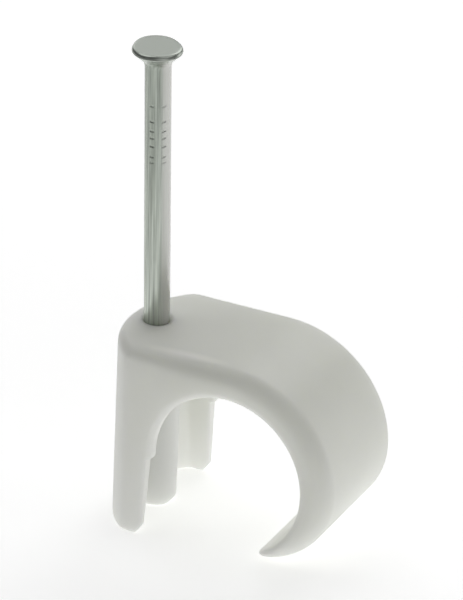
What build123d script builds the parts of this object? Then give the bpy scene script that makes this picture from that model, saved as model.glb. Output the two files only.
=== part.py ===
"""Nail-in cable clip: a round clip moulded in one piece, with its steel nail standing ready in the boss.

Millimetres. The origin is where the nail's axis meets the wall. X runs from the nail towards the
hook, Y runs along the cable, and Z points away from the wall, along the nail to its head.
"""
import os
from math import cos, radians, sin, tan

from build123d import *

# Cable seat: one arc over the leg and the crown, and a slightly wider one inside the hook
SEAT_RADIUS = 10.35
SEAT_REACH = 14.65
SEAT_HEIGHT = 11.8
HOOK_SPREAD = 0.65
HOOK_SPREAD_ANGLE = 46.5
SEAT_EDGE_CHAMFER = 0.55

# Hook
CROWN_WALL = 4.0
SIDE_WALL = 4.05
OUTER_RADIUS_OVER_SEAT = 4.23
HOOK_TURN_ANGLE = 0.0
HOOK_TURN_TIGHTER = 3.5
TIP_ANGLE = -63.5
TIP_BEVEL_ANGLE = 15.0

# Width along the cable, a little wider at the foot so that the clip leaves its mould
FOOT_WIDTH = 19.55
SIDE_DRAFT = 0.75
OUTER_EDGE_ROUNDING = 1.9

# Leg: a bowed end wall and two flanges round two pockets
END_WALL_RADIUS = 12.0
END_WALL_REACH = 4.77
END_WALL_DRAFT = 1.9
END_CORNER_ROUNDING = 2.0
END_WALL_THICKNESS = 0.9
FLANGE_THICKNESS = 1.0
POCKET_REACH = 7.5
POCKET_DRAFT = 4.2
POCKET_CORNER_CHAMFER = 0.7
FLANGE_EDGE_AT_FOOT = 2.73
FLANGE_EDGE_LEAN = 3.9
LEDGE_DROP = 0.7
LEDGE_SLOPE_DROP = 0.2
FOOT_CHAMFER_IN = 0.45
FOOT_CHAMFER_UP = 0.8

# Nail boss and bore
BOSS_FOOT_RADIUS = 2.65
BOSS_DRAFT = 1.5
BOSS_FOOT_CHAMFER = 0.5
BOSS_WEB_THICKNESS = 2.4
BORE_CLEARANCE = 0.05
BORE_MOUTH_RADIUS = 2.3
BORE_MOUTH_DEPTH = 1.6

# Nail: round wire with a four-sided point, a forged head and grip marks from the heading die
NAIL_RADIUS = 1.675
NAIL_LENGTH = 60.0
NAIL_POINT_HEIGHT = 3.8
POINT_LENGTH = 5.0
POINT_TIP_WIDTH = 0.4
HEAD_RADIUS = 3.18
HEAD_RIM_THICKNESS = 0.75
HEAD_EDGE_IN = 0.2
HEAD_EDGE_DOWN = 0.4
HEAD_CONE_HEIGHT = 1.6
HEAD_NECK_ROUNDING = 0.8
GRIP_TOP_BELOW_HEAD = 8.0
GRIP_PITCH = 1.15
GRIP_COUNT = 7
GRIP_DEPTH = 0.12
GRIP_WIDTH = 0.9
GRIP_HEIGHT = 0.35
GRIP_SLOPE = 20.0
GRIP_SPREAD_ANGLE = 26.0
GRIP_FACING_ANGLE = -63.0

# Sizes worked out from those above
FOOT_HALF_WIDTH = FOOT_WIDTH / 2
TOP_HEIGHT = SEAT_HEIGHT + SEAT_RADIUS + CROWN_WALL
ROOF_HEIGHT = SEAT_HEIGHT + SEAT_RADIUS
HOOK_RADIUS = SEAT_RADIUS + HOOK_SPREAD
OUTER_RADIUS = SEAT_RADIUS + OUTER_RADIUS_OVER_SEAT
HOOK_TURN_RADIUS = OUTER_RADIUS - HOOK_TURN_TIGHTER
LEDGE_HEIGHT = SEAT_HEIGHT - LEDGE_DROP
BORE_RADIUS = NAIL_RADIUS + BORE_CLEARANCE
NAIL_HEAD_TOP = NAIL_POINT_HEIGHT + NAIL_LENGTH
BLOCK_END = SEAT_REACH + SEAT_RADIUS + 2 * SIDE_WALL
BELOW_FOOT = -SIDE_WALL


def ray(angle, length):
    """Vector of the given length at an angle in degrees, in the side view."""
    return Vector(length * cos(radians(angle)), length * sin(radians(angle)))


SEAT_AXIS = Vector(SEAT_REACH, SEAT_HEIGHT)
HOOK_AXIS = SEAT_AXIS - ray(HOOK_SPREAD_ANGLE, HOOK_SPREAD)
OUTER_AXIS = Vector(HOOK_AXIS.X + HOOK_RADIUS + SIDE_WALL - OUTER_RADIUS, TOP_HEIGHT - OUTER_RADIUS)


def arc_between(centre, radius, start, end):
    """Arc about a centre from one angle to another, in degrees, in the side view."""
    middle = (start + end) / 2
    return ThreePointArc(*(centre + ray(angle, radius) for angle in (start, middle, end)))


def extruded_across(outline):
    """Prism of a side-view outline, well past both sides of the clip."""
    return extrude(outline, amount=FOOT_WIDTH, both=True)


def filled_side_outline():
    """Side view before the seat is cut: flat top, outer curve, then the tighter curve of the hook."""
    turn_axis = OUTER_AXIS + ray(HOOK_TURN_ANGLE, HOOK_TURN_TIGHTER)
    outer_top = OUTER_AXIS + ray(90, OUTER_RADIUS)
    hook_bottom = turn_axis + ray(-90, HOOK_TURN_RADIUS)
    left = -2 * END_WALL_REACH
    with BuildSketch(Plane.XZ) as outline:
        with BuildLine():
            Polyline((SEAT_REACH, 0), (left, 0), (left, TOP_HEIGHT), outer_top)
            arc_between(OUTER_AXIS, OUTER_RADIUS, 90, HOOK_TURN_ANGLE)
            arc_between(turn_axis, HOOK_TURN_RADIUS, HOOK_TURN_ANGLE, -90)
            Polyline(hook_bottom, (SEAT_REACH, hook_bottom.Y), (SEAT_REACH, 0))
        make_face()
    return outline.sketch


def drafted_slab(foot_half_width, draft, span, rise):
    """Block between two X and two Z positions, with both sides leaning inwards as they rise."""
    side = [(foot_half_width - height * tan(radians(draft)), height) for height in rise]
    other_side = [(-across, height) for across, height in reversed(side)]
    with BuildSketch(Plane.YZ.offset(span[0])) as section:
        with BuildLine():
            Polyline(*side, *other_side, close=True)
        make_face()
    return extrude(section.sketch, amount=span[1] - span[0])


def bowed_block(slab, reach, wall_radius, lean):
    """The slab with its left end bowed and leaning, and the two upright edges beside the bow."""
    axis = Pos(X=wall_radius - reach)
    size = slab.bounding_box().size
    bow = axis * Rot(Y=lean) * Cylinder(wall_radius, 3 * size.Z)
    beyond = axis * Box(size.X, 2 * size.Y, 3 * size.Z, align=(Align.MIN, Align.CENTER, Align.CENTER))
    block = slab & (bow + beyond)
    bowed_face = block.faces().filter_by(GeomType.CYLINDER)[0]
    return block, [edge for edge in bowed_face.edges() if abs((edge % 0.5).Z) > 0.9]


def drafted_block():
    """Tapered block that gives the clip its drafted sides and its leaning, bowed end wall."""
    span = (-2 * END_WALL_REACH, BLOCK_END)
    slab = drafted_slab(FOOT_HALF_WIDTH, SIDE_DRAFT, span, (0, TOP_HEIGHT))
    block, uprights = bowed_block(slab, END_WALL_REACH, END_WALL_RADIUS, END_WALL_DRAFT)
    return fillet(uprights, END_CORNER_ROUNDING)


def marks_a_join(edge):
    """True for a straight edge along Y, which only marks where two curves of the outside join."""
    return edge.geom_type == GeomType.LINE and abs((edge % 0.5).Y) > 0.99


def curves_about_cable(face):
    """True for a round face whose axis runs along Y, as the outside of the hook does."""
    return abs(face.axis_of_rotation.direction.Y) > 0.99


def clip_blank():
    """Outside of the clip, with one soft edge that runs round the top and down both sides of the hook."""
    blank = extruded_across(filled_side_outline()) & drafted_block()
    curved = [face for face in blank.faces().filter_by(GeomType.CYLINDER) if curves_about_cable(face)]
    outside = ShapeList(curved) + blank.faces().sort_by(Axis.Z)[-1:]
    rim = [edge for edge in outside.edges() if not marks_a_join(edge)]
    return fillet(rim, OUTER_EDGE_ROUNDING)


def seat_outline():
    """Closed outline of the seat, carried down past the ledge and the tip of the hook."""
    left = SEAT_REACH - SEAT_RADIUS
    bottom = HOOK_AXIS + ray(-90, HOOK_RADIUS)
    with BuildSketch(Plane.XZ) as outline:
        with BuildLine():
            arc_between(HOOK_AXIS, HOOK_RADIUS, -90, HOOK_SPREAD_ANGLE)
            arc_between(SEAT_AXIS, SEAT_RADIUS, HOOK_SPREAD_ANGLE, 180)
            Polyline((left, SEAT_HEIGHT), (left, bottom.Y), bottom)
        make_face()
    return outline.sketch


def flared_seat():
    """The seat as a solid to cut away, flared where it leaves the two sides to ease the seat's edges."""
    span = (SEAT_REACH - BLOCK_END, SEAT_REACH + BLOCK_END)
    sides = drafted_slab(FOOT_HALF_WIDTH, SIDE_DRAFT, span, (BELOW_FOOT, TOP_HEIGHT))
    pierced = sides - extruded_across(seat_outline())
    rims = [face.inner_wires()[0] for face in pierced.faces() if face.inner_wires()]
    return sides - chamfer([edge for rim in rims for edge in rim.edges()], SEAT_EDGE_CHAMFER)


def mouth_outline():
    """Side view of what is open below the seat, from the flanges' edges to the bevelled tip of the hook."""
    tip = HOOK_AXIS + ray(TIP_ANGLE, HOOK_RADIUS)
    bevel_end = tip + ray(-TIP_BEVEL_ANGLE, 2 * SIDE_WALL)
    edge_slope = tan(radians(FLANGE_EDGE_LEAN))
    ledge_foot = LEDGE_HEIGHT - LEDGE_SLOPE_DROP
    foot_x = FLANGE_EDGE_AT_FOOT - FOOT_CHAMFER_IN
    with BuildSketch(Plane.XZ) as outline:
        with BuildLine():
            Polyline(
                SEAT_AXIS,
                (SEAT_REACH - SEAT_RADIUS, LEDGE_HEIGHT),
                (FLANGE_EDGE_AT_FOOT + ledge_foot * edge_slope, ledge_foot),
                (FLANGE_EDGE_AT_FOOT + FOOT_CHAMFER_UP * edge_slope, FOOT_CHAMFER_UP),
                (foot_x, 0),
                (foot_x, BELOW_FOOT),
                (bevel_end.X, BELOW_FOOT),
                bevel_end,
                tip,
                SEAT_AXIS,
            )
        make_face()
    return outline.sketch


def nail_boss():
    """Drafted boss round the nail, with a web that ties it to the end wall."""
    top_radius = BOSS_FOOT_RADIUS + TOP_HEIGHT * tan(radians(BOSS_DRAFT))
    boss = Pos(Z=TOP_HEIGHT / 2) * Cone(BOSS_FOOT_RADIUS, top_radius, TOP_HEIGHT)
    boss = chamfer(boss.edges().group_by(Axis.Z)[0], BOSS_FOOT_CHAMFER)
    web = Box(END_WALL_REACH, BOSS_WEB_THICKNESS, TOP_HEIGHT, align=(Align.MAX, Align.CENTER, Align.MIN))
    return boss + web


def leg_pockets():
    """The two pockets beside the boss, open at the foot and towards the cable."""
    span = (-2 * END_WALL_REACH, POCKET_REACH)
    slab = drafted_slab(FOOT_HALF_WIDTH - FLANGE_THICKNESS, POCKET_DRAFT, span, (0, ROOF_HEIGHT))
    wall = (END_WALL_REACH - END_WALL_THICKNESS, END_WALL_RADIUS - END_WALL_THICKNESS)
    block, uprights = bowed_block(slab, *wall, POCKET_DRAFT)
    return chamfer(uprights, POCKET_CORNER_CHAMFER) - nail_boss()


def nail_bore():
    """Straight bore for the nail and the wider, tapered mouth above it."""
    bore = Pos(Z=TOP_HEIGHT / 2) * Cylinder(BORE_RADIUS, 2 * TOP_HEIGHT)
    mouth = Cone(BORE_RADIUS, BORE_MOUTH_RADIUS, BORE_MOUTH_DEPTH)
    return bore, Pos(Z=TOP_HEIGHT - BORE_MOUTH_DEPTH / 2) * mouth


def clip_body():
    """The whole moulding: hook, leg with its two pockets, nail boss and bore."""
    bore, mouth = nail_bore()
    hook_and_leg = clip_blank() - flared_seat() - extruded_across(mouth_outline())
    return hook_and_leg - leg_pockets() - bore - mouth


def nail_profile():
    """Half section of the nail: wire, rounded neck, cone under the head, rim, eased edge and flat top."""
    rim_bottom = NAIL_HEAD_TOP - HEAD_RIM_THICKNESS
    neck = (NAIL_RADIUS, rim_bottom - HEAD_CONE_HEIGHT)
    with BuildSketch(Plane.XZ) as half:
        with BuildLine():
            Polyline(
                (0, NAIL_POINT_HEIGHT),
                (NAIL_RADIUS, NAIL_POINT_HEIGHT),
                neck,
                (HEAD_RADIUS, rim_bottom),
                (HEAD_RADIUS, NAIL_HEAD_TOP - HEAD_EDGE_DOWN),
                (HEAD_RADIUS - HEAD_EDGE_IN, NAIL_HEAD_TOP),
                (0, NAIL_HEAD_TOP),
                (0, NAIL_POINT_HEIGHT),
            )
        make_face()
        fillet(half.vertices().sort_by_distance(neck)[0], HEAD_NECK_ROUNDING)
    return half.sketch


def nail_point():
    """Four-sided point, as wide as the wire where it begins."""
    width = 2 * NAIL_RADIUS
    tip = (NAIL_RADIUS - POINT_TIP_WIDTH / 2, NAIL_RADIUS + POINT_TIP_WIDTH / 2)
    corners = (tip[0], tip[0], tip[1], tip[1])
    point = Wedge(width, POINT_LENGTH, width, *corners, align=(Align.CENTER, Align.MIN, Align.CENTER))
    return Pos(Z=NAIL_POINT_HEIGHT + POINT_LENGTH) * Rot(X=-90) * point


def nail_shank_and_head():
    """Turned shape of the nail, pressed to four flats at its point."""
    point_root = NAIL_POINT_HEIGHT + POINT_LENGTH
    above_point = Pos(Z=point_root + NAIL_LENGTH / 2) * Cylinder(2 * HEAD_RADIUS, NAIL_LENGTH)
    return revolve(nail_profile(), Axis.Z) & (nail_point() + above_point)


def grip_notches():
    """Two columns of short slanted notches that the heading die bites into the wire."""
    notch = Rot(X=45) * Box(GRIP_WIDTH, GRIP_HEIGHT, GRIP_HEIGHT)
    outward = NAIL_RADIUS - GRIP_DEPTH + GRIP_HEIGHT * 0.5**0.5
    notches = []
    for side in (-1, 1):
        facing = Rot(Z=GRIP_FACING_ANGLE + side * GRIP_SPREAD_ANGLE + 90)
        for index in range(GRIP_COUNT):
            height = NAIL_HEAD_TOP - GRIP_TOP_BELOW_HEAD - index * GRIP_PITCH
            notches.append(facing * Pos(0, -outward, height) * Rot(Y=-side * GRIP_SLOPE) * notch)
    return notches


def nail():
    """The steel nail as it stands in the boss."""
    return nail_shank_and_head() - grip_notches()


def main():
    """Write one STEP file for each of the two pieces."""
    os.makedirs("parts", exist_ok=True)
    export_step(clip_body(), "parts/clip_body.step")
    export_step(nail(), "parts/nail.step")


if __name__ == "__main__":
    main()
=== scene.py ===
"""Looks of a nail-in cable clip: a moulded round clip and the zinc-plated nail that stands in its boss.

Lengths are written in millimetres and angles in degrees, and lengths turn to metres where a mesh, a
light or a pattern is made. The frame's origin is where the nail's axis meets the wall. X runs from the
nail towards the hook, Y along the cable and Z along the nail to its head. Angles round the nail start
at X and turn towards Y.
"""
import logging
import math
from dataclasses import dataclass
from enum import Enum
from functools import reduce
from typing import Any

import bmesh
import bpy
from mathutils import Matrix, Vector


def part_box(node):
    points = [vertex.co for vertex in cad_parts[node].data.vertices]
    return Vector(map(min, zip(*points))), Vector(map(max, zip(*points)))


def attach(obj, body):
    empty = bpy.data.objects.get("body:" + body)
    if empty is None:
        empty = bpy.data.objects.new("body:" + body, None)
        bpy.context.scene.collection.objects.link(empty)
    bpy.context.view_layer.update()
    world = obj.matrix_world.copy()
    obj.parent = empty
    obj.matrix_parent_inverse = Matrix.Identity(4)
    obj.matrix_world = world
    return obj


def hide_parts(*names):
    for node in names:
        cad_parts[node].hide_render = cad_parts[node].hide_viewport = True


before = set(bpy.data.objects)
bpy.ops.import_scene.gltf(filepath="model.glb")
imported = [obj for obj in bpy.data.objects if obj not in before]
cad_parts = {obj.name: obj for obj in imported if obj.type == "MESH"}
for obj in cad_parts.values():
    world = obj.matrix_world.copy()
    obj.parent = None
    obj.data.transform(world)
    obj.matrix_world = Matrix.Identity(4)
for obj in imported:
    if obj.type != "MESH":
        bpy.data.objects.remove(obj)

MM = 0.001
BODY = "root"

log = logging.getLogger("cable_clip")


class Slot(Enum):
    """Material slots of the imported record."""

    CLIP = "clip_plastic"
    NAIL = "nail_steel"


class Blend(Enum):
    """Ways in which one colour goes over another."""

    COVER = "MIX"
    TINT = "MULTIPLY"


def slope(angle: float) -> float:
    """Run for each unit of rise along a face that leans by an angle in degrees."""
    return math.tan(math.radians(angle))


def direction(azimuth: float, elevation: float) -> Vector:
    """Unit vector that points away from the object.

    Args:
        azimuth: Degrees from the front of the clip towards its hook.
        elevation: Degrees above the floor.

    Returns:
        The vector.
    """
    turn, rise = math.radians(azimuth), math.radians(elevation)
    return Vector((math.sin(turn) * math.cos(rise), -math.cos(turn) * math.cos(rise), math.sin(rise)))


def linear(colour: str) -> tuple[float, float, float, float]:
    """Turn an sRGB hex colour such as "#c8c8c4" into linear values.

    Args:
        colour: Hash and six hex digits.

    Returns:
        Linear red, green, blue and an alpha of one.
    """
    channels = [int(colour[start:start + 2], 16) / 255 for start in (1, 3, 5)]
    red, green, blue = (c / 12.92 if c <= 0.04045 else ((c + 0.055) / 1.055) ** 2.4 for c in channels)
    return red, green, blue, 1.0


def add_node(tree: bpy.types.NodeTree, kind: str, links: dict[str | int, Any] | None = None,
             **settings: Any) -> bpy.types.Node:
    """Add one node with its settings and links.

    Args:
        tree: Tree that gets the node.
        kind: Blender's name of the node type.
        links: Input name or index to the field, the output socket or the plain value that feeds it.
        settings: Properties of the node, such as operation.

    Returns:
        The new node.
    """
    node = tree.nodes.new(kind)
    for name, value in settings.items():
        setattr(node, name, value)
    for key, source in (links or {}).items():
        source = source.socket if isinstance(source, Field) else source
        if isinstance(source, bpy.types.NodeSocket):
            tree.links.new(source, node.inputs[key])
        else:
            node.inputs[key].default_value = source
    return node


def new_material(name: str) -> tuple[bpy.types.Material, bpy.types.NodeTree, bpy.types.Node]:
    """Start a material.

    Args:
        name: Name of the material.

    Returns:
        The material, its tree and its Principled shader.
    """
    made = bpy.data.materials.new(name)
    made.use_nodes = True
    return made, made.node_tree, made.node_tree.nodes["Principled BSDF"]


def add_piece(name: str, mesh: bpy.types.Mesh, node: str) -> bpy.types.Object:
    """Show a finished mesh in place of a CAD node.

    Args:
        name: Name of the piece.
        mesh: Mesh in metres, in the frame.
        node: CAD node that the piece stands for.

    Returns:
        The new object, riding on the one body.
    """
    piece = bpy.data.objects.new(name, mesh)
    bpy.context.scene.collection.objects.link(piece)
    mesh.shade_smooth()
    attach(piece, BODY)
    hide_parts(node)
    return piece


class Field:
    """A number that varies over space inside a node tree, written with plain arithmetic.

    A field of distances describes a shape: it is below zero inside, zero on the surface and above zero
    outside.
    """

    def __init__(self, tree: bpy.types.NodeTree, socket: bpy.types.NodeSocket) -> None:
        """Hold the socket that carries the number."""
        self.tree = tree
        self.socket = socket

    def _with(self, operation: str, *others: "Field | float") -> "Field":
        """Feed this number and the others to one arithmetic step.

        Args:
            operation: Name of the step, as Blender's Math node has it.
            others: Further fields or numbers, in order.

        Returns:
            The result as a new field.
        """
        links = dict(enumerate((self, *others)))
        step = add_node(self.tree, "ShaderNodeMath", links, operation=operation)
        return Field(self.tree, step.outputs[0])

    def __add__(self, other: "Field | float") -> "Field":
        """Sum."""
        return self._with("ADD", other)

    def __sub__(self, other: "Field | float") -> "Field":
        """Difference."""
        return self._with("SUBTRACT", other)

    def __mul__(self, other: "Field | float") -> "Field":
        """Product."""
        return self._with("MULTIPLY", other)

    def __truediv__(self, other: "Field | float") -> "Field":
        """Quotient."""
        return self._with("DIVIDE", other)

    def __neg__(self) -> "Field":
        """Opposite."""
        return self._with("MULTIPLY", -1.0)

    def __abs__(self) -> "Field":
        """Size without its sign."""
        return self._with("ABSOLUTE")

    def root(self) -> "Field":
        """Square root."""
        return self._with("SQRT")

    def above(self, other: "Field | float") -> "Field":
        """One where this number is greater than the other, and zero elsewhere."""
        return self._with("GREATER_THAN", other)

    def shared(self, other: "Field | float") -> "Field":
        """The greater of the two: as a distance, the space that both shapes share."""
        return self._with("MAXIMUM", other)

    def joined(self, other: "Field | float") -> "Field":
        """The lesser of the two: as a distance, the two shapes together."""
        return self._with("MINIMUM", other)

    def softly_shared(self, other: "Field", reach: float) -> "Field":
        """Space that two shapes share, their faces eased into each other where they meet at a wide angle."""
        return self._with("SMOOTH_MAX", other, reach)

    def rounded_with(self, other: "Field", radius: "Field | float") -> "Field":
        """Space that two shapes share, with a fillet of the given radius where they cross squarely."""
        corner = (self + radius).shared(0.0).length_with((other + radius).shared(0.0))
        return self.shared(other).joined(-radius) + corner

    def blended_with(self, other: "Field", radius: float) -> "Field":
        """The two shapes together, with a hollow fillet of the given radius where they meet."""
        return -((-self).rounded_with(-other, radius))

    def where(self, choice: "Field", other: "Field | float") -> "Field":
        """This number where the choice is one, and the other where it is zero."""
        return (self - other) * choice + other

    def length_with(self, other: "Field") -> "Field":
        """Length of the vector that the two numbers make."""
        return (self * self + other * other).root()

    def angle_of(self, other: "Field") -> "Field":
        """Angle, in radians, of the direction that has this number along X and the other along Y."""
        return other._with("ARCTAN2", self)

    def peak(self, width: "Field") -> "Field":
        """One where this number is zero, falling evenly to zero at half the width on either side."""
        return (-(abs(self) / width * 2.0) + 1.0).shared(0.0)


class ShapeTree:
    """A Geometry Nodes tree with a named input for each size, whose result becomes a plain mesh.

    The position in space stands ready as the fields x, y and z, in millimetres.
    """

    def __init__(self, name: str, mesh: bpy.types.Mesh) -> None:
        """Start a tree.

        Args:
            name: Name of the tree.
            mesh: Mesh that its modifier sits on, empty where the tree makes the whole shape.
        """
        self.mesh = mesh
        self.group = bpy.data.node_groups.new(name, "GeometryNodeTree")
        for way in ("INPUT", "OUTPUT"):
            self.group.interface.new_socket("Geometry", in_out=way, socket_type="NodeSocketGeometry")
        self.entry = add_node(self.group, "NodeGroupInput")
        self.values: dict[str, float] = {}
        position = add_node(self.group, "GeometryNodeInputPosition")
        parts = add_node(self.group, "ShaderNodeSeparateXYZ", {"Vector": position.outputs[0]})
        self.x, self.y, self.z = (Field(self.group, parts.outputs[axis]) / MM for axis in "XYZ")

    @property
    def geometry(self) -> bpy.types.NodeSocket:
        """Mesh that the modifier sits on."""
        return self.entry.outputs["Geometry"]

    def size(self, name: str, value: float) -> Field:
        """Add one named input.

        Args:
            name: Name of the input.
            value: Length in millimetres, or a plain number.

        Returns:
            The input as a field.
        """
        self.group.interface.new_socket(name, in_out="INPUT", socket_type="NodeSocketFloat")
        self.values[name] = value
        return Field(self.group, self.entry.outputs[name])

    def plain_mesh(self, result: bpy.types.NodeSocket, material: bpy.types.Material) -> bpy.types.Mesh:
        """Run the tree and keep its result.

        Args:
            result: Geometry at the end of the tree.
            material: Material for every face.

        Returns:
            The evaluated mesh, with no modifier left.
        """
        real = add_node(self.group, "GeometryNodeRealizeInstances", {"Geometry": result})
        links = {"Geometry": real.outputs[0], "Material": material}
        dressed = add_node(self.group, "GeometryNodeSetMaterial", links)
        add_node(self.group, "NodeGroupOutput", {"Geometry": dressed.outputs[0]})
        carrier = bpy.data.objects.new(self.group.name, self.mesh)
        bpy.context.scene.collection.objects.link(carrier)
        modifier = carrier.modifiers.new(self.group.name, "NODES")
        modifier.node_group = self.group
        for item in self.group.interface.items_tree:
            if item.in_out == "INPUT" and item.name in self.values:
                modifier[item.identifier] = self.values[item.name]
        graph = bpy.context.evaluated_depsgraph_get()
        made = bpy.data.meshes.new_from_object(carrier.evaluated_get(graph), depsgraph=graph)
        bpy.data.objects.remove(carrier)
        return made


@dataclass(frozen=True)
class MouldedPolypropylene:
    """Near-white polypropylene from an injection mould with a spark-eroded wall."""

    colour: str = "#eff0ea"
    cloudy_colour: str = "#ebece6"
    cloud_size: float = 5.0
    roughness: float = 0.42
    refraction: float = 1.49
    milky_depth: float = 3.0
    milky_share: tuple[float, float, float] = (1.0, 1.0, 0.95)
    # Painted highlight: a whiter patch in the base colour along the front of the top, in place of a gloss
    # highlight
    painted_highlight_colour: str = "#fffff6"
    painted_highlight_place: tuple[float, float, float] = (8.2, -7.2, 26.1)
    painted_highlight_half_size: tuple[float, float, float] = (6.0, 1.1, 2.0)
    painted_highlight_turn: float = 3.4
    grain_size: float = 0.25
    grain_depth: float = 0.006

    def material(self) -> bpy.types.Material:
        """Give the material that this finish describes.

        Returns:
            The material.
        """
        made, tree, shader = new_material("moulded_polypropylene")
        place = add_node(tree, "ShaderNodeTexCoord").outputs["Object"]

        # The polymer lets light in and out again a few millimetres away, so edges and hollows look soft
        shader.inputs["Subsurface Weight"].default_value = 1.0
        shader.inputs["Subsurface Radius"].default_value = self.milky_share
        shader.inputs["Subsurface Scale"].default_value = self.milky_depth * MM
        shader.inputs["IOR"].default_value = self.refraction

        # The melt cools unevenly, which leaves very faint clouds in the colour
        links = {"Vector": place, "Scale": 1 / (self.cloud_size * MM), "Detail": 3.0, "Roughness": 0.5}
        clouds = add_node(tree, "ShaderNodeTexNoise", links)
        links = {0: clouds.outputs[0], 6: linear(self.cloudy_colour), 7: linear(self.colour)}
        colour = add_node(tree, "ShaderNodeMix", links, data_type="RGBA")

        # A pale streak along the front of the top is a painted highlight: the base colour is whitened there
        # in place of a gloss highlight
        links = {"Vector": place, "Rotation": (0.0, 0.0, math.radians(self.painted_highlight_turn)),
                 "Location": [length * MM for length in self.painted_highlight_place],
                 "Scale": [length * MM for length in self.painted_highlight_half_size]}
        streak = add_node(tree, "ShaderNodeMapping", links, vector_type="TEXTURE")
        links = {"Vector": streak.outputs[0]}
        fade = add_node(tree, "ShaderNodeTexGradient", links, gradient_type="SPHERICAL")
        links = {0: fade.outputs["Fac"], 6: colour.outputs[2], 7: linear(self.painted_highlight_colour)}
        highlight_mix = add_node(tree, "ShaderNodeMix", links, data_type="RGBA")
        tree.links.new(highlight_mix.outputs[2], shader.inputs["Base Color"])

        # The eroded wall leaves a satin surface. Its pits are about 0.03 mm, drawn coarser so that they show
        links = {"Vector": place, "Scale": 1 / (self.grain_size * MM), "Detail": 4.0, "Roughness": 0.6}
        grain = add_node(tree, "ShaderNodeTexNoise", links)
        links = {"Height": grain.outputs[0], "Distance": self.grain_depth * MM, "Strength": 1.0}
        pits = add_node(tree, "ShaderNodeBump", links)
        tree.links.new(pits.outputs[0], shader.inputs["Normal"])
        shader.inputs["Roughness"].default_value = self.roughness
        return made


@dataclass(frozen=True)
class ZincPlatedWire:
    """Drawn steel wire with a thin zinc plating."""

    colour: str = "#ecf3e9"
    streak_colour: str = "#b0b6ae"
    streak_width: float = 0.22
    streak_length: float = 9.0
    streak_depth: float = 0.012
    band_tone: str = "#e6e7e4"
    band_width: float = 0.9
    band_length: float = 30.0
    noise_middle: tuple[float, float] = (0.3, 0.7)
    dull_tone: str = "#cfd1cf"
    dull_rise: tuple[float, float] = (22.0, 62.0)
    # Painted sheen: an even grey on the side towards the hook, in place of the brighter reflection there
    painted_sheen_colour: str = "#cacbc6"
    painted_sheen_side: float = 87.0
    painted_sheen_edge: tuple[float, float] = (1.1, 1.55)
    head_edge: tuple[float, float] = (61.5, 63.2)
    # Painted shade: the head's colour is held near the dark streak colour, for its duller reflection
    head_shaded_share: float = 0.08
    metallic: float = 0.66
    roughness: float = 0.27

    def streaks(self, tree: bpy.types.NodeTree, place: bpy.types.NodeSocket, width: float,
                length: float) -> Field:
        """Uneven lines that are drawn out along the wire.

        Args:
            tree: Material's tree.
            place: Object coordinates.
            width: Width of a line.
            length: Its length.

        Returns:
            A share from zero to one.
        """
        across, along = 1 / (width * MM), 1 / (length * MM)
        drawn = add_node(tree, "ShaderNodeMapping", {"Vector": place, "Scale": (across, across, along)})
        links = {"Vector": drawn.outputs[0], "Scale": 1.0, "Detail": 3.0, "Roughness": 0.6}
        noise = add_node(tree, "ShaderNodeTexNoise", links)
        low, high = self.noise_middle
        links = {"Value": noise.outputs[0], "From Min": low, "From Max": high}
        return Field(tree, add_node(tree, "ShaderNodeMapRange", links).outputs[0])

    def material(self) -> bpy.types.Material:
        """Give the material that this finish describes.

        Returns:
            The material.
        """
        made, tree, shader = new_material("zinc_plated_wire")
        place = add_node(tree, "ShaderNodeTexCoord").outputs["Object"]
        height = add_node(tree, "ShaderNodeSeparateXYZ", {"Vector": place}).outputs["Z"]
        links = {0: place, 1: direction(self.painted_sheen_side, 0)}
        side = add_node(tree, "ShaderNodeVectorMath", links, operation="DOT_PRODUCT").outputs["Value"]
        spans = ((height, self.head_edge), (height, self.dull_rise), (side, self.painted_sheen_edge))
        shares = []
        for value, (low, high) in spans:
            links = {"Value": value, "From Min": low * MM, "From Max": high * MM}
            shares.append(Field(tree, add_node(tree, "ShaderNodeMapRange", links).outputs[0]))
        head, dull, painted_sheen = shares
        wire = -head + 1.0

        # The drawing die leaves lines along the wire. Real ones are about 0.02 mm wide, drawn coarser so
        # that they show. The forged head has none, and its colour is darkened as painted shade for its
        # duller reflection
        lines = self.streaks(tree, place, self.streak_width, self.streak_length)
        bands = self.streaks(tree, place, self.band_width, self.band_length)
        fine = lines * wire + head * self.head_shaded_share

        # The plating is greenish grey and duller towards the head. On the side towards the hook it is
        # covered by an even grey, a painted sheen in place of the brighter reflection on that side
        layers = (
            (fine, Blend.COVER, self.colour),
            (bands * wire, Blend.TINT, self.band_tone),
            (dull * wire, Blend.TINT, self.dull_tone),
            (painted_sheen * wire, Blend.COVER, self.painted_sheen_colour),
        )
        colour = linear(self.streak_colour)
        for share, blend, other in layers:
            links = {0: share, 6: colour, 7: linear(other)}
            layer = add_node(tree, "ShaderNodeMix", links, data_type="RGBA", blend_type=blend.value)
            colour = layer.outputs[2]
        tree.links.new(colour, shader.inputs["Base Color"])
        links = {"Height": fine, "Distance": self.streak_depth * MM, "Strength": 1.0}
        relief = add_node(tree, "ShaderNodeBump", links)
        tree.links.new(relief.outputs[0], shader.inputs["Normal"])

        # Zinc is a soft-looking metal: it mirrors lights as broad bands, over some dull grey of its own
        shader.inputs["Metallic"].default_value = self.metallic
        shader.inputs["Roughness"].default_value = self.roughness
        return made


@dataclass(frozen=True)
class StudioPaper:
    """Matt white paper, lit from below so that it stays as pale as the photograph's ground."""

    colour: str = "#fdfdfd"
    glow_colour: str = "#ffffff"
    glow: float = 0.465
    roughness: float = 0.9

    def material(self) -> bpy.types.Material:
        """Give the material that this finish describes.

        Returns:
            The material.
        """
        made, _, shader = new_material("floor_paper")
        shader.inputs["Base Color"].default_value = linear(self.colour)
        shader.inputs["Roughness"].default_value = self.roughness
        shader.inputs["Emission Color"].default_value = linear(self.glow_colour)
        shader.inputs["Emission Strength"].default_value = self.glow
        return made


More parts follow.
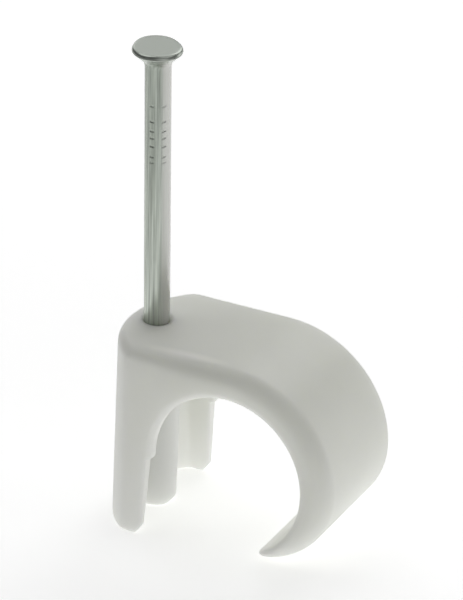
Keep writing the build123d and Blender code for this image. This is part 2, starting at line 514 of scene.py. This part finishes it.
@dataclass(frozen=True)
class Bow:
    """An upright wall that is bowed in plan and leans as it rises."""

    reach: float
    radius: float
    lean: float

    def distance(self, tree: ShapeTree, wall: str) -> Field:
        """Distance outside the bow.

        Args:
            tree: Tree that the distance is written in.
            wall: What the wall is called in the tree's inputs.

        Returns:
            The field of distances.
        """
        radius = tree.size(f"{wall} bow radius", self.radius)
        axis = radius - tree.size(f"{wall} reach", self.reach)
        lean = tree.size(f"{wall} lean slope", slope(self.lean))
        return (tree.x - axis - tree.z * lean).joined(0.0).length_with(tree.y) - radius


@dataclass
class ClipBody:
    """The moulding: hook, hollow leg, nail boss and bore, drawn from distances to simple shapes."""

    finish: MouldedPolypropylene = MouldedPolypropylene()
    seat_radius: float = 10.35
    seat_reach: float = 14.65
    seat_height: float = 11.8
    seat_edge_rounding: float = 0.85
    hook_spread: float = 0.65
    hook_spread_angle: float = 46.5
    hook_turn_radius: float = 11.08
    tip_angle: float = -63.5
    tip_bevel_angle: float = 15.0
    crown_wall: float = 4.0
    side_wall: float = 4.05
    outer_radius: float = 14.58
    foot_width: float = 19.55
    side_draft: float = 0.75
    outer_edge_rounding: float = 1.75
    front_edge_growth: float = 0.03
    hook_edge_growth: float = 0.015
    end_edge_rounding: float = 1.6
    end_edge_growth: float = 0.07
    end_wall: Bow = Bow(reach=4.77, radius=12.0, lean=1.9)
    end_corner_easing: float = 0.7
    pocket_wall: Bow = Bow(reach=3.87, radius=11.1, lean=4.2)
    pocket_draft: float = 4.2
    pocket_corner_easing: float = 0.45
    pocket_reach: float = 7.5
    flange_thickness: float = 1.0
    flange_edge_at_foot: float = 2.97
    flange_edge_lean: float = 3.5
    foot_chamfer_in: float = 0.8
    foot_chamfer_up: float = 1.25
    ledge_drop: float = 0.7
    ledge_slope: float = 0.24
    boss_foot_radius: float = 2.65
    boss_draft: float = 1.5
    boss_foot_rounding: float = 0.35
    boss_web_thickness: float = 2.4
    bore_radius: float = 1.725
    bore_mouth_radius: float = 2.1
    bore_mouth_depth: float = 0.38
    bore_mouth_shift: tuple[float, float] = (0.35, -0.2)
    bore_edge_softness: float = 0.15
    edge_softness: float = 0.22
    voxel: float = 0.235
    voxels_of_margin: int = 3
    voxels_of_fade: int = 4
    skin_density: float = 0.5
    empty_density: float = -1.0

    @property
    def top_height(self) -> float:
        """Height of the flat top."""
        return self.seat_height + self.seat_radius + self.crown_wall

    @property
    def hook_radius(self) -> float:
        """Radius of the wider part of the seat, inside the hook."""
        return self.seat_radius + self.hook_spread

    @property
    def hook_axis(self) -> tuple[float, float]:
        """X and Z of the axis that the inside of the hook turns about."""
        angle = math.radians(self.hook_spread_angle)
        return (self.seat_reach - self.hook_spread * math.cos(angle),
                self.seat_height - self.hook_spread * math.sin(angle))

    def sides(self, tree: ShapeTree, part: str, width: float, draft: float) -> Field:
        """Distance outside two sides that lean towards each other as they rise.

        Args:
            tree: Tree that the distance is written in.
            part: What the part is called in the tree's inputs.
            width: Width at the foot.
            draft: Lean of each side.

        Returns:
            The field of distances.
        """
        half = tree.size(f"{part} half width", width / 2)
        lean = tree.size(f"{part} side slope", slope(draft))
        return abs(tree.y) - half + tree.z * lean

    def side_view(self, tree: ShapeTree) -> Field:
        """Distance outside the side view before the seat is cut.

        The flat top runs into the outer curve, and below its widest place into the tighter curve of the
        hook. Round the leg the outline is open below, because the shell cuts the foot.

        Args:
            tree: Tree that the distance is written in.

        Returns:
            The field of distances.
        """
        outer = tree.size("Outer radius", self.outer_radius)
        turn = tree.size("Hook turn radius", self.hook_turn_radius)
        far_side = self.hook_axis[0] + self.hook_radius + self.side_wall
        past_far_side = tree.x - tree.size("Far side of hook", far_side)
        rise = tree.z - (tree.size("Top height", self.top_height) - outer)
        upper = (past_far_side + outer).shared(0.0).length_with(rise) - outer
        lower = (past_far_side + turn).shared(0.0).length_with(rise) - turn
        return upper.where(rise.above(0.0), lower.where(tree.x.above(self.pocket_reach), -self.side_wall))

    def shell(self, tree: ShapeTree) -> Field:
        """Distance outside the closed outer form, before anything is cut from it.

        Its soft edge widens towards the front and the hook, and narrows towards the end wall.

        Args:
            tree: Tree that the distance is written in.

        Returns:
            The field of distances.
        """
        sides = self.sides(tree, "Foot", self.foot_width, self.side_draft)
        plan = sides.softly_shared(self.end_wall.distance(tree, "End wall"), self.end_corner_easing)
        rounding = tree.size("Outer edge rounding", self.outer_edge_rounding)
        rounding = rounding - tree.y * self.front_edge_growth + tree.x * self.hook_edge_growth
        rounding = rounding.joined(tree.x * self.end_edge_growth + self.end_edge_rounding)
        shell = self.side_view(tree).rounded_with(plan, rounding)
        return shell.rounded_with(-tree.z, self.edge_softness)

    def seat(self, tree: ShapeTree) -> Field:
        """Distance inside the cable seat, which is one arc over the leg and crown and a wider one after.

        Args:
            tree: Tree that the distance is written in.

        Returns:
            A field that is above zero in the open seat, so that it cuts the seat away.
        """
        angle = math.radians(self.hook_spread_angle)
        radius = tree.size("Seat radius", self.seat_radius)
        spread = tree.size("Hook spread", self.hook_spread)
        x = tree.x - tree.size("Seat reach", self.seat_reach)
        z = tree.z - tree.size("Seat height", self.seat_height)
        crown = radius - x.length_with(z.shared(0.0))
        hook = radius + spread - (x + spread * math.cos(angle)).length_with(z + spread * math.sin(angle))
        past_spread = (x * math.sin(angle)).above(z * math.cos(angle))
        return hook.where(past_spread * x.above(0.0), crown)

    def tip(self, tree: ShapeTree) -> Field:
        """Distance below the bevel that ends the hook.

        Args:
            tree: Tree that the distance is written in.

        Returns:
            The field of distances.
        """
        angle, bevel = math.radians(self.tip_angle), math.radians(self.tip_bevel_angle)
        axis_x, axis_z = self.hook_axis
        x = tree.x - (axis_x + self.hook_radius * math.cos(angle))
        z = tree.z - (axis_z + self.hook_radius * math.sin(angle))
        return -(x * math.sin(bevel) + z * math.cos(bevel))

    def flange_edge(self, tree: ShapeTree) -> Field:
        """Distance outside the edge that the flanges turn to the cable, with its chamfer at the foot.

        Args:
            tree: Tree that the distance is written in.

        Returns:
            The field of distances.
        """
        lean = slope(self.flange_edge_lean)
        foot_edge = tree.size("Flange edge at foot", self.flange_edge_at_foot)
        edge = tree.x - foot_edge - tree.z * tree.size("Flange edge slope", lean)
        start = foot_edge - tree.size("Foot chamfer in", self.foot_chamfer_in)
        run = self.foot_chamfer_in + self.foot_chamfer_up * lean
        length = math.hypot(run, self.foot_chamfer_up)
        chamfer = (tree.x - start) * (self.foot_chamfer_up / length) - tree.z * (run / length)
        return edge.shared(chamfer)

    def hook_and_leg(self, tree: ShapeTree) -> Field:
        """Distance outside the hook and leg, before the pockets and the bore are cut.

        Args:
            tree: Tree that the distance is written in.

        Returns:
            The field of distances.
        """
        soft = self.edge_softness
        shell = self.shell(tree)
        ring = shell.rounded_with(self.seat(tree), self.seat_edge_rounding)
        past_seat_edge = tree.x - (self.seat_reach - self.seat_radius)
        ledge = past_seat_edge * tree.size("Ledge slope", self.ledge_slope)
        above_ledge = ring.rounded_with(ledge + (self.seat_height - self.ledge_drop) - tree.z, soft)
        leg = above_ledge.joined(shell.rounded_with(self.flange_edge(tree), soft))
        hook = ring.rounded_with(self.tip(tree), soft)

        # Hook and leg meet in the crown, half way from the seat's edge to its middle
        return hook.where(past_seat_edge.above(self.seat_radius / 2), leg)

    def boss(self, tree: ShapeTree) -> Field:
        """Distance outside the nail boss and the web behind it.

        Args:
            tree: Tree that the distance is written in.

        Returns:
            The field of distances.
        """
        lean = tree.size("Boss slope", slope(self.boss_draft))
        foot_radius = tree.size("Boss foot radius", self.boss_foot_radius)
        tube = tree.x.length_with(tree.y) - foot_radius - tree.z * lean
        half_web = tree.size("Half web thickness", self.boss_web_thickness / 2)
        web = (abs(tree.y) - half_web).shared(tree.x)
        return tube.rounded_with(-tree.z, self.boss_foot_rounding).blended_with(web, self.edge_softness)

    def pockets(self, tree: ShapeTree) -> Field:
        """Distance outside the open space beside the boss.

        Args:
            tree: Tree that the distance is written in.

        Returns:
            The field of distances.
        """
        sides = self.sides(tree, "Pocket", self.foot_width - 2 * self.flange_thickness, self.pocket_draft)
        plan = sides.softly_shared(self.pocket_wall.distance(tree, "Pocket wall"), self.pocket_corner_easing)
        roof = tree.z - tree.size("Pocket roof", self.seat_height + self.seat_radius)
        room = plan.rounded_with(roof, self.edge_softness).shared(tree.x - self.pocket_reach)
        return room.rounded_with(-self.boss(tree), self.edge_softness)

    def bore(self, tree: ShapeTree) -> Field:
        """Distance outside the bore and the worn cone at its mouth, which leans to the hook and the front.

        Args:
            tree: Tree that the distance is written in.

        Returns:
            The field of distances.
        """
        mouth_bottom = self.top_height - self.bore_mouth_depth
        rise = ((tree.z - mouth_bottom) / self.bore_mouth_depth).shared(0.0)
        over, across = (rise * shift for shift in self.bore_mouth_shift)
        cone = rise * (self.bore_mouth_radius - self.bore_radius)
        radius = tree.size("Bore radius", self.bore_radius)
        return (tree.x - over).length_with(tree.y - across) - radius - cone

    def solid(self, tree: ShapeTree) -> Field:
        """Distance outside the whole moulding.

        Args:
            tree: Tree that the distance is written in.

        Returns:
            The field of distances.
        """
        body = self.hook_and_leg(tree).rounded_with(-self.pockets(tree), self.edge_softness)
        return body.rounded_with(-self.bore(tree), self.bore_edge_softness)

    def skin(self, tree: ShapeTree, distance: Field) -> bpy.types.NodeSocket:
        """Surface of a shape that is given by distances.

        The distances become the density of a volume and the volume gets a skin. Each vertex of the skin
        then slides along its normal by the distance that it still has.

        Args:
            tree: Tree that makes the surface.
            distance: Distance outside the shape.

        Returns:
            The surface.
        """
        voxel = self.voxel * MM
        margin = self.voxels_of_margin * voxel
        low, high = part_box("clip_body")
        start = [value - margin for value in low]
        steps = [math.ceil((value + margin - first) / voxel) for first, value in zip(start, high)]
        end = [first + count * voxel for first, count in zip(start, steps)]
        density = distance * (-1.0 / (self.voxels_of_fade * self.voxel)) + self.skin_density
        links = {"Density": density, "Background": self.empty_density, "Min": start, "Max": end}
        links.update({f"Resolution {axis}": count + 1 for axis, count in zip("XYZ", steps)})
        cube = add_node(tree.group, "GeometryNodeVolumeCube", links)
        links = {"Volume": cube.outputs[0], "Threshold": self.skin_density}
        rough = add_node(tree.group, "GeometryNodeVolumeToMesh", links, resolution_mode="GRID")
        normal = add_node(tree.group, "GeometryNodeInputNormal")
        links = {"Vector": normal.outputs[0], "Scale": distance * -MM}
        slide = add_node(tree.group, "ShaderNodeVectorMath", links, operation="SCALE")
        links = {"Geometry": rough.outputs[0], "Offset": slide.outputs[0]}
        return add_node(tree.group, "GeometryNodeSetPosition", links).outputs[0]

    def build(self) -> bpy.types.Object:
        """Make the moulding and dress it.

        Returns:
            The dressed piece.
        """
        tree = ShapeTree("moulded_clip", bpy.data.meshes.new("moulded_clip"))
        mesh = tree.plain_mesh(self.skin(tree, self.solid(tree)), self.finish.material())
        return add_piece("clip_moulding", mesh, "clip_body")


@dataclass(frozen=True)
class Flat:
    """A side of the head that the forging left short by a depth, or proud where the depth is below zero."""

    side: float
    depth: float


@dataclass(frozen=True)
class MarkRow:
    """A height at which the gripping die bites the wire, and how much of the full depth it reaches."""

    height: float
    share: float


@dataclass(frozen=True)
class MarkColumn:
    """A side on which the gripping die bites the wire, and the lean of its marks."""

    side: float
    lean: float


@dataclass
class Nail:
    """The steel nail: wire, pressed point, forged head and the grip marks under it."""

    finish: ZincPlatedWire = ZincPlatedWire()
    wire_radius: float = 1.675
    point_height: float = 3.8
    point_length: float = 5.0
    point_tip_width: float = 0.4
    head_top: float = 63.8
    head_radius: float = 3.3
    rim_thickness: float = 0.7
    rim_top_edge: float = 0.45
    rim_bottom_edge: float = 0.25
    rim_underside_angle: float = -60.0
    cone_height: float = 1.5
    neck_rounding: float = 1.7
    head_low_side: float = -63.0
    head_tilt: float = 0.33
    head_flats: tuple[Flat, ...] = (
        Flat(side=-63.0, depth=0.1),
        Flat(side=30.0, depth=0.17),
        Flat(side=65.0, depth=0.32),
        Flat(side=148.0, depth=-0.25),
    )
    flat_half_width: float = 50.0
    mark_rows: tuple[MarkRow, ...] = (
        MarkRow(height=56.18, share=0.8),
        MarkRow(height=54.1, share=1.0),
        MarkRow(height=52.81, share=1.0),
        MarkRow(height=51.87, share=1.0),
        MarkRow(height=50.75, share=1.05),
        MarkRow(height=49.32, share=0.9),
        MarkRow(height=48.55, share=0.75),
    )
    mark_columns: tuple[MarkColumn, ...] = (
        MarkColumn(side=-89.0, lean=2.0),
        MarkColumn(side=-34.0, lean=-14.0),
    )
    mark_length: float = 0.42
    mark_gap: float = 0.3
    mark_height: float = 0.46
    mark_depth: float = 0.09
    segments: int = 120
    point_rows: int = 12
    arc_rows: int = 8
    mark_margin: float = 1.0
    mark_row_spacing: float = 0.07

    @property
    def rim_bottom(self) -> float:
        """Height of the lower side of the head's rim."""
        return self.head_top - self.rim_thickness

    @property
    def neck(self) -> float:
        """Height at which the cone under the head would meet the wire without its rounding."""
        return self.rim_bottom - self.cone_height

    def shank_rows(self) -> list[tuple[float, float]]:
        """Half section of the wire, with rows at the point and close together where the marks are.

        Returns:
            Radius and height of each row, from the bottom up.
        """
        rise = self.point_length / self.point_rows
        heights = [self.point_height + rise * index for index in range(self.point_rows + 1)]
        first = min(row.height for row in self.mark_rows) - self.mark_margin
        last = max(row.height for row in self.mark_rows) + self.mark_margin
        count = math.ceil((last - first) / self.mark_row_spacing)
        heights += [first + self.mark_row_spacing * index for index in range(count + 1)]
        return [(self.wire_radius, height) for height in heights]

    def head_rows(self) -> list[tuple[float, float]]:
        """Half section of the head: rounded neck, cone, the rim's two edges and the flat top.

        Returns:
            Radius and height of each row, from the bottom up.
        """
        steps = [index / self.arc_rows for index in range(self.arc_rows + 1)]
        slant = math.atan2(self.head_radius - self.wire_radius, self.cone_height)
        start = self.neck - self.neck_rounding * math.tan(slant / 2)
        rows = [
            (self.wire_radius + self.neck_rounding * (1 - math.cos(slant * step)),
             start + self.neck_rounding * math.sin(slant * step))
            for step in steps
        ]
        edges = (
            (self.rim_bottom_edge, self.rim_bottom + self.rim_bottom_edge, self.rim_underside_angle, 0.0),
            (self.rim_top_edge, self.head_top - self.rim_top_edge, 0.0, 90.0),
        )
        for edge, height, first, last in edges:
            for step in steps:
                turn = math.radians(first + (last - first) * step)
                radius = self.head_radius - edge + edge * math.cos(turn)
                rows.append((radius, height + edge * math.sin(turn)))
        flat = self.head_radius - self.rim_top_edge
        return rows + [(flat * (1 - step), self.head_top) for step in steps[1:-1]]

    def forged(self, radius: float, side: float) -> float:
        """Radius after the forging has left the head a little out of round.

        Args:
            radius: Radius of the row in the half section.
            side: Angle round the nail.

        Returns:
            Radius of the row on this side.
        """
        share = max(0.0, (radius - self.wire_radius) / (self.head_radius - self.wire_radius))
        for flat in self.head_flats:
            away = abs((side - flat.side + 180) % 360 - 180) / self.flat_half_width
            if away < 1:
                radius -= share * flat.depth * math.cos(away * math.pi / 2) ** 2
        return radius

    def pressed(self, across: float, height: float) -> float:
        """Distance from the axis, along X or Y, after the four-sided point has been pressed.

        Args:
            across: Distance before.
            height: Height above the foot.

        Returns:
            The distance, held between two sides of the point.
        """
        share = (height - self.point_height) / self.point_length
        if share >= 1:
            return across
        tip = self.point_tip_width / 2
        half = tip + (self.wire_radius - tip) * share
        return max(-half, min(half, across))

    def vertex(self, radius: float, height: float, turn: float) -> tuple[float, ...]:
        """Place of one vertex, on the head lowered to one side by its tilt.

        Args:
            radius: Radius of its row in the half section.
            height: Height of its row.
            turn: Angle round the nail, in radians.

        Returns:
            The place, in metres.
        """
        reach = self.forged(radius, math.degrees(turn))
        x, y = (self.pressed(across, height) for across in (reach * math.cos(turn), reach * math.sin(turn)))
        share = min(1.0, max(0.0, (height - self.neck) / self.cone_height))
        side = 1 + radius / self.head_radius * math.cos(turn - math.radians(self.head_low_side))
        return tuple(value * MM for value in (x, y, height - self.head_tilt / 2 * share * side))

    def turned(self) -> bpy.types.Mesh:
        """Turn the half section into a closed mesh.

        Returns:
            The mesh, still without its grip marks.
        """
        work = bmesh.new()
        turns = [2 * math.pi * index / self.segments for index in range(self.segments)]
        rows = self.shank_rows() + self.head_rows()
        rings = [[work.verts.new(self.vertex(*row, turn)) for turn in turns] for row in rows]
        for lower, upper in zip(rings, rings[1:]):
            for index in range(self.segments):
                after = (index + 1) % self.segments
                work.faces.new((lower[index], lower[after], upper[after], upper[index]))
        ends = (self.point_height, self.head_top)
        bottom, top = (work.verts.new(self.vertex(0.0, height, 0.0)) for height in ends)
        for index in range(self.segments):
            after = (index + 1) % self.segments
            work.faces.new((rings[0][after], rings[0][index], bottom))
            work.faces.new((rings[-1][index], rings[-1][after], top))
        mesh = bpy.data.meshes.new("turned_nail")
        work.to_mesh(mesh)
        work.free()
        return mesh

    def marks(self, tree: ShapeTree) -> Field:
        """Depth of the grip marks, each of which is two bites side by side.

        Args:
            tree: Tree that the depth is written in.

        Returns:
            The depth at each place on the wire.
        """
        turn = tree.x.angle_of(tree.y)
        length = tree.size("Mark length", self.mark_length)
        height = tree.size("Mark height", self.mark_height)
        rows = [
            (tree.size(f"Mark {number} height", row.height), tree.size(f"Mark {number} share", row.share))
            for number, row in enumerate(self.mark_rows, start=1)
        ]
        bites = []
        for column in self.mark_columns:
            along = (turn - math.radians(column.side)) * self.wire_radius
            lift = along * slope(column.lean)
            for shift in (-self.mark_gap / 2, self.mark_gap / 2):
                ends = (along - shift).peak(length).root()
                bites += [(tree.z - centre + lift).peak(height) * ends * share for centre, share in rows]
        return reduce(Field.shared, bites) * tree.size("Mark depth", self.mark_depth)

    def build(self) -> bpy.types.Object:
        """Turn the nail, press the marks into its wire and dress it.

        Returns:
            The dressed piece.
        """
        tree = ShapeTree("gripped_nail", self.turned())
        inwards = self.marks(tree) * (-MM / self.wire_radius)
        links = {"X": tree.x * inwards, "Y": tree.y * inwards}
        offset = add_node(tree.group, "ShaderNodeCombineXYZ", links)
        links = {"Geometry": tree.geometry, "Offset": offset.outputs[0]}
        marked = add_node(tree.group, "GeometryNodeSetPosition", links)
        mesh = tree.plain_mesh(marked.outputs[0], self.finish.material())
        return add_piece("wire_nail", mesh, "nail")


@dataclass(frozen=True)
class Softbox:
    """A round soft light that faces the object. Its azimuth turns as the camera's does."""

    azimuth: float
    elevation: float
    power: float
    size: float = 700.0
    distance: float = 1000.0

    def build(self, aim: Vector) -> None:
        """Hang the light.

        Args:
            aim: Place that it faces, in metres.
        """
        outwards = direction(self.azimuth, self.elevation)
        data = bpy.data.lights.new("softbox", "AREA")
        data.shape = "DISK"
        data.size = self.size * MM
        data.energy = self.power
        lamp = bpy.data.objects.new("softbox", data)
        turned = outwards.to_track_quat("Z", "Y").to_matrix().to_4x4()
        lamp.matrix_world = Matrix.Translation(aim + outwards * self.distance * MM) @ turned
        lamp.visible_camera = False
        bpy.context.scene.collection.objects.link(lamp)


@dataclass
class Studio:
    """Pale floor, soft light all round and the camera at the photograph's angle."""

    floor_finish: StudioPaper = StudioPaper()
    floor_size: float = 6000.0
    camera_aim: tuple[float, float, float] = (3.131, 14.627, 22.915)
    camera_azimuth: float = 27.157
    camera_elevation: float = 26.82
    camera_roll: float = 0.855
    camera_distance: float = 517.606
    nearest_seen: float = 10.0
    farthest_seen: float = 20000.0
    lens: float = 238.519
    sensor_width: float = 36.0
    sky: float = 0.0
    light_aim: tuple[float, float, float] = (8.0, 0.0, 20.0)
    softboxes: tuple[Softbox, ...] = (
        Softbox(azimuth=45, elevation=10, power=0.80),
        Softbox(azimuth=45, elevation=38, power=0.32),
        Softbox(azimuth=135, elevation=10, power=1.45),
        Softbox(azimuth=225, elevation=10, power=0.95),
        Softbox(azimuth=180, elevation=38, power=2.15),
        Softbox(azimuth=225, elevation=38, power=1.00),
        Softbox(azimuth=90, elevation=65, power=1.00),
        Softbox(azimuth=180, elevation=65, power=0.57),
        Softbox(azimuth=270, elevation=65, power=1.80),
    )

    def camera(self) -> None:
        """Place the camera and make it the scene's own."""
        back = direction(self.camera_azimuth, self.camera_elevation)
        right = Vector((0.0, 0.0, 1.0)).cross(back).normalized()
        turned = Matrix((right, back.cross(right), back)).transposed()
        turned = turned @ Matrix.Rotation(math.radians(self.camera_roll), 3, "Z")
        place = (Vector(self.camera_aim) + back * self.camera_distance) * MM
        data = bpy.data.cameras.new("camera")
        data.lens = self.lens
        data.sensor_width = self.sensor_width
        data.clip_start = self.nearest_seen * MM
        data.clip_end = self.farthest_seen * MM
        seen = bpy.data.objects.new("camera", data)
        seen.matrix_world = Matrix.Translation(place) @ turned.to_4x4()
        bpy.context.scene.collection.objects.link(seen)
        bpy.context.scene.camera = seen

    def floor(self) -> None:
        """Lay the floor that the foot stands on."""
        half = self.floor_size / 2 * MM
        mesh = bpy.data.meshes.new("floor")
        corners = [(-half, -half, 0), (half, -half, 0), (half, half, 0), (-half, half, 0)]
        mesh.from_pydata(corners, [], [(0, 1, 2, 3)])
        mesh.materials.append(self.floor_finish.material())
        ground = bpy.data.objects.new("floor", mesh)
        bpy.context.scene.collection.objects.link(ground)

    def light(self) -> None:
        """Hang the soft lights in a dark room, and show their colours plainly."""
        world = bpy.data.worlds.new("studio")
        world.use_nodes = True
        world.node_tree.nodes["Background"].inputs["Strength"].default_value = self.sky
        bpy.context.scene.world = world
        bpy.context.scene.view_settings.view_transform = "Standard"
        for softbox in self.softboxes:
            softbox.build(Vector(self.light_aim) * MM)

    def build(self) -> None:
        """Set up camera, floor and lights."""
        self.camera()
        self.floor()
        self.light()


def main() -> None:
    """Build the studio and then each piece in order, and report the pieces."""
    logging.basicConfig(level=logging.INFO, format="%(message)s")
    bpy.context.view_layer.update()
    Studio().build()
    for maker in (ClipBody(), Nail()):
        piece = maker.build()
        piece.data.calc_loop_triangles()
        log.info("%s: %d triangles", piece.name, len(piece.data.loop_triangles))


if __name__ == "__main__":
    main()
